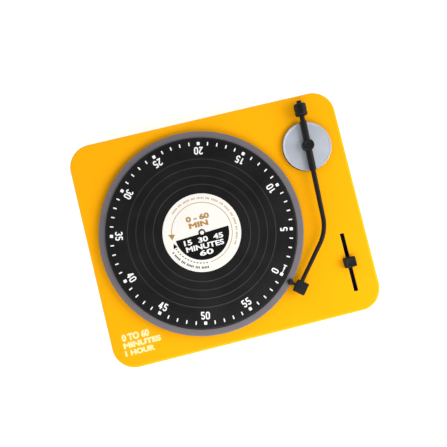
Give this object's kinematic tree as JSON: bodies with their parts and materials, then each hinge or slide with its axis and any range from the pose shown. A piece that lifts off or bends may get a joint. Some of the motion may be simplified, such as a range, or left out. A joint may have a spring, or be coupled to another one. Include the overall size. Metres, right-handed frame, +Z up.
{
  "type": "kitchen timer",
  "caption": "Wind-up kitchen timer shaped like a small record player: a rotating record dial with minute scale, a fixed arm as pointer and a clockwork bell movement inside.",
  "frame": {"origin": "middle of the case's outline, on the surface that the rubber feet stand on", "axes": "+Z up out of the dial, +X along the case's long side towards the arm and slider, +Y towards the side with the arm's counterweight"},
  "size_m": [0.12, 0.0992, 0.0316],
  "materials": {
    "case_yellow": "glossy moulded ABS",
    "cover_black": "fine textured moulded ABS",
    "platter_grey": "satin grey paint",
    "record_black": "grooved black styrene",
    "label_paper": "printed white label",
    "white_plastic": "natural acetal",
    "arm_silver": "satin silver paint",
    "arm_black": "satin black moulded ABS",
    "zinc_steel": "zinc plated",
    "movement_brass": "plain stamped and turned",
    "foot_rubber": "soft matte rubber"
  },
  "bodies": {
    "case": {"top_housing": "case_yellow", "bottom_cover": "cover_black", "case_screw_1": "zinc_steel", "case_screw_2": "zinc_steel", "case_screw_3": "zinc_steel", "case_screw_4": "zinc_steel", "foot_1": "foot_rubber", "foot_2": "foot_rubber", "foot_3": "foot_rubber", "foot_4": "foot_rubber", "front_plate": "zinc_steel", "back_plate": "zinc_steel", "pillar_1": "movement_brass", "pillar_2": "movement_brass", "pillar_3": "movement_brass", "pillar_4": "movement_brass", "movement_screw_1": "zinc_steel", "movement_screw_2": "zinc_steel", "movement_screw_3": "zinc_steel", "mainspring": "zinc_steel", "stop_pin": "zinc_steel", "bell": "zinc_steel", "bell_screw": "zinc_steel", "bell_spacer": "movement_brass", "second_pin": "zinc_steel", "third_pin": "zinc_steel", "escape_pin": "zinc_steel", "balance_pin": "zinc_steel", "hammer_pin": "zinc_steel", "hammer_spring": "zinc_steel", "arm_base": "arm_silver", "arm_post": "arm_black", "arm_nut": "zinc_steel", "rear_tube": "arm_black", "weight_shaft": "arm_black", "counterweight": "arm_black", "arm_tube": "arm_black", "headshell": "arm_black", "slider_track": "cover_black"},
    "dial": {"platter": "platter_grey", "record_disc": "record_black", "centre_label": "label_paper", "spindle_pin": "white_plastic", "main_arbor": "zinc_steel", "drive_gear": "movement_brass", "clutch_washer": "zinc_steel", "stop_arm": "zinc_steel", "strike_cam": "movement_brass", "arbor_clip": "zinc_steel"},
    "second": {"second_gear": "white_plastic"},
    "third": {"third_gear": "white_plastic"},
    "escape": {"escape_gear": "white_plastic"},
    "balance": {"balance_lever": "movement_brass"},
    "hammer": {"hammer_lever": "zinc_steel"},
    "slider": {"slider_knob": "arm_black", "slider_clip": "zinc_steel"}
  },
  "joints": [
    {"name": "dial_turn", "type": "hinge", "parent": "case", "child": "dial", "pos_m": [-0.0106, 0.00015, 0.025], "axis": [0, 0, 1], "range_deg": [-345, 0]},
    {"name": "second_spin", "type": "hinge", "parent": "case", "child": "second", "pos_m": [0.0069, 0.00015, 0.015], "axis": [0, 0, 1], "range_deg": [-1, 2071]},
    {"name": "third_spin", "type": "hinge", "parent": "case", "child": "third", "pos_m": [0.01001, 0.01174, 0.015], "axis": [0, 0, 1], "range_deg": [-10355, 1]},
    {"name": "escape_spin", "type": "hinge", "parent": "case", "child": "escape", "pos_m": [0.00476, 0.02083, 0.015], "axis": [0, 0, 1], "range_deg": [-1, 51760]},
    {"name": "balance_swing", "type": "hinge", "parent": "case", "child": "balance", "pos_m": [-0.00347, 0.02558, 0.015], "axis": [0, 0, 1], "range_deg": [-6, 6]},
    {"name": "hammer_swing", "type": "hinge", "parent": "case", "child": "hammer", "pos_m": [-0.0271, -0.00385, 0.0165], "axis": [0, 0, 1], "range_deg": [0, 8], "stiffness_Nm_per_rad": 0.002},
    {"name": "slider_travel", "type": "slide", "parent": "case", "child": "slider", "axis": [0, 1, 0], "range_m": [-0.011, 0.011]}
  ],
  "couplings": [
    {"joint": "second_spin", "follows": "dial_turn", "ratio": -6},
    {"joint": "third_spin", "follows": "dial_turn", "ratio": 30},
    {"joint": "escape_spin", "follows": "dial_turn", "ratio": -150}
  ]
}
